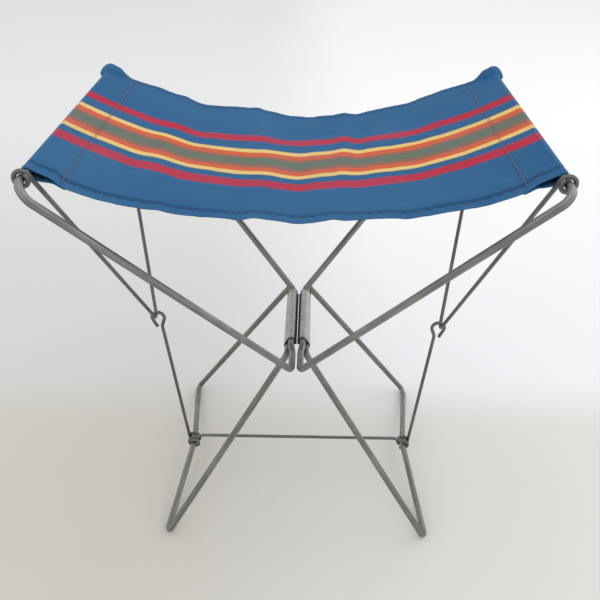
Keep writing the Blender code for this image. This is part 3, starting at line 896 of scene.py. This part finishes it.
def on_cloth(x, y):
    """A point on the cloth's upper face, and the cloth's normal there."""
    slope = slope_at(x)
    normal = Vector((-math.sin(slope), 0, math.cos(slope)))
    return Vector((x, y, section(x)[0])) + normal * (folds(x, y) + CLOTH / 2), normal


def stitches(name, starts, surface, radius, rise):
    """Separate stitches in one mesh. Each start is (from point, to point, normal) of a bowed thread."""
    points, faces, skin = [], [], []
    sides, rings = 7, 7
    for number, (begin, end, normal) in enumerate(starts):
        run = end - begin
        ahead = run.normalized()
        side = ahead.cross(normal).normalized()
        for i in range(rings):
            share = i / (rings - 1)
            bow = math.sin(math.pi * share)
            centre = begin + run * share + normal * (rise * (bow ** 0.6) - radius * STITCH_SINK)
            size = radius * (0.55 + 0.45 * bow ** 0.5)
            for k in range(sides):
                angle = math.tau * k / sides
                points.append(centre + (normal * math.cos(angle) + side * math.sin(angle)) * size)
                skin.append((math.cos(angle), math.sin(angle), number * 1.37 + share * run.length / radius))
        base = number * sides * rings
        for i in range(rings - 1):
            here, there = base + i * sides, base + (i + 1) * sides
            for k in range(sides):
                after = (k + 1) % sides
                faces.append((here + k, there + k, there + after, here + after))
        faces += [tuple(base + k for k in range(sides)),
                  tuple(base + (rings - 1) * sides + k for k in range(sides))[::-1]]
    return mesh_object(name, points, faces, surface, {"skin": skin})


def pocket_stitches(name, side, surface):
    """The row of stitches that closes a pocket, not quite straight."""
    front, rear = -POCKET_END[-1] + POCKET_STITCH_INSET, POCKET_END[1] - POCKET_STITCH_INSET
    count = int((rear - front) / POCKET_STITCH_PITCH)
    dice = random.Random(7 + side)
    rows = []
    for i in range(count):
        y = front + (i + 0.5) * (rear - front) / count
        x = side * (TOP_X - POCKET_SEAM) + POCKET_STITCH_WANDER * math.sin(y * 60 + side)
        begin, normal = on_cloth(x, y - POCKET_STITCH / 2)
        skew = dice.uniform(-POCKET_STITCH_SKEW, POCKET_STITCH_SKEW)
        finish = on_cloth(x + skew, y + POCKET_STITCH / 2)[0]
        rows.append((begin, finish, normal))
    return stitches(name, rows, surface, STITCH_RADIUS, POCKET_STITCH_RISE)


def hem_stitches(name, side, surface):
    """The rows of stitches along the front (-1) or rear (1) hem."""
    reach = TOP_X - HEM_STITCH_INSET
    count = int(2 * reach / HEM_STITCH_PITCH)
    rows = []
    for line in HEM_LINES[side]:
        for i in range(count):
            x = -reach + (i + 0.5) * 2 * reach / count
            before, after = x - HEM_STITCH / 2, x + HEM_STITCH / 2
            begin, normal = on_cloth(before, side * (edge_y(before, side) - line))
            finish = on_cloth(after, side * (edge_y(after, side) - line))[0]
            rows.append((begin, finish, normal))
    return stitches(name, rows, surface, STITCH_RADIUS, HEM_STITCH_RISE)


# ---------------------------------------------------------------- build
rod_steel = steel("drawn_rod_steel", srgb(164, 165, 164), srgb(110, 110, 108), srgb(104, 88, 72), 0.38)
leg_steel = steel("leg_rod_steel", srgb(162, 161, 155), srgb(106, 105, 100), srgb(106, 88, 70), 0.40)
wire_steel = steel("link_wire_steel", srgb(140, 140, 138), srgb(90, 90, 88), srgb(92, 80, 68), 0.42)
sheet_zinc = zinc("sleeve_zinc", srgb(186, 194, 186), srgb(192, 194, 184), srgb(66, 72, 78))
cloth = canvas_cloth("striped_canvas_cloth")
tan_thread = thread("tan_thread", srgb(186, 144, 104), srgb(122, 88, 62))
navy_thread = thread("navy_thread", srgb(40, 72, 116), srgb(20, 40, 74))

for label, side in (("left", -1), ("right", 1)):
    piece = seat_frame(label + "_seat_rods", side, rod_steel)
    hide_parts(label + "_seat_frame")
    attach(piece, label + "_seat")
    piece = leg_frame(label + "_leg_rods", side, leg_steel)
    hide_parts(label + "_leg_frame")
    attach(piece, label + "_leg")
    piece = hinge_sleeve(label + "_sleeve", side, sheet_zinc)
    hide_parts(label + "_hinge_sleeve")
    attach(piece, label + "_seat")
    piece = v_link(label + "_v_wire", side, wire_steel)
    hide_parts(label + "_v_link")
    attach(piece, label + "_v")
    piece = hook_link(label + "_hook_wire", side, wire_steel)
    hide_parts(label + "_hook_link")
    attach(piece, label + "_hook")
    piece = pocket_stitches(label + "_pocket_stitches", side, tan_thread)
    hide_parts(label + "_pocket_seam")
    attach(piece, label + "_seat")
piece = bottom_tie("bottom_tie", wire_steel)
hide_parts("bottom_tie_wire")
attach(piece, "bottom_tie")

canvas = seat_canvas("canvas_seat", cloth)
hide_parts("seat_canvas")
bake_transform(canvas)
for label, side in (("front", -1), ("rear", 1)):
    piece = hem_stitches(label + "_hem_stitches", side, navy_thread)
    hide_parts(label + "_hem_seam")
    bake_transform(piece)
CUT_LENGTH = 2 * profile()[-1][3]

# ---------------------------------------------------------------- floor, light and camera
# Floor colours that paint light: greyer near the stool as painted shade, brighter behind it and to the right
# as painted light
FLOOR_NEAR_LEFT = srgb(214, 210, 201)
FLOOR_NEAR_RIGHT = srgb(228, 227, 222)
FLOOR_FAR_LEFT = srgb(217, 218, 214)
FLOOR_FAR_RIGHT = srgb(244, 244, 246)
FLOOR_END_LEFT = srgb(236, 236, 235)
FLOOR_END_RIGHT = srgb(252, 252, 250)


def floor_surface():
    """Pale paper with light painted into its colour: warm and a little grey near the stool as painted shade,
    lighter behind it and towards the right as painted light.
    """
    s = Shader("pale_floor")
    place = s.node("TexCoord").outputs["Object"]
    axes = s.node("SeparateXYZ", {"Vector": place})
    tone = s.noise(place, 3.0, 2.0, 0.5)
    # Painted light: the colour brightens towards the right and the back, and is shaded near the stool
    right = s.node("MapRange", {"Value": axes.outputs["X"], "From Min": -0.22, "From Max": 0.20},
                   interpolation_type="SMOOTHSTEP").outputs["Result"]
    back = s.node("MapRange", {"Value": axes.outputs["Y"], "From Min": 0.04, "From Max": 0.15},
                  interpolation_type="SMOOTHSTEP").outputs["Result"]
    end = s.spread(axes.outputs["Y"], 0.35, 1.1)
    near = s.mix(right, FLOOR_NEAR_LEFT, FLOOR_NEAR_RIGHT)
    behind = s.mix(right, FLOOR_FAR_LEFT, FLOOR_FAR_RIGHT)
    farthest = s.mix(right, FLOOR_END_LEFT, FLOOR_END_RIGHT)
    colour = s.mix(back, near, s.mix(end, behind, farthest))
    colour = s.mix(s.spread(tone, 0.3, 0.7, 0.0, 0.03), colour, srgb(190, 190, 188))
    return s.surface(Base_Color=colour, Roughness=0.8, Specular_IOR_Level=0.15)


floor = mesh_object("studio_floor", [(-30, -30, 0), (30, -30, 0), (30, 30, 0), (-30, 30, 0)], [(0, 1, 2, 3)],
                    floor_surface(), smooth=False)


def soft_light(name, place, aim, size, power, colour):
    lamp = bpy.data.lights.new(name, "AREA")
    lamp.shape = "RECTANGLE"
    lamp.size, lamp.size_y = size
    lamp.energy = power
    lamp.color = colour
    made = bpy.data.objects.new(name, lamp)
    made.location = place
    made.rotation_euler = (Vector(aim) - Vector(place)).to_track_quat("-Z", "Y").to_euler()
    bpy.context.collection.objects.link(made)


soft_light("window", (1.9, 0.5, 1.7), (0, 0, 0.25), (2.4, 2.4), 11.0, (1.0, 0.99, 0.98))
soft_light("ceiling", (-0.3, -0.2, 2.6), (0, 0, 0.2), (3.6, 3.6), 12.0, (1.0, 1.0, 1.0))
world = bpy.data.worlds.new("studio")
bpy.context.scene.world = world
world.use_nodes = True
backdrop = world.node_tree.nodes["Background"]
backdrop.inputs["Color"].default_value = (0.98, 0.99, 1.0, 1.0)
backdrop.inputs["Strength"].default_value = 0.85

camera_data = bpy.data.cameras.new("camera")
camera_data.sensor_width = 36.0
camera_data.lens = 39.6
camera = bpy.data.objects.new("camera", camera_data)
camera.location = (0.0154, -0.5472, 0.6252)
camera.rotation_euler = (math.radians(54.4), 0.0, math.radians(1.4))
bpy.context.collection.objects.link(camera)
bpy.context.scene.camera = camera
bpy.context.scene.view_settings.view_transform = "Standard"
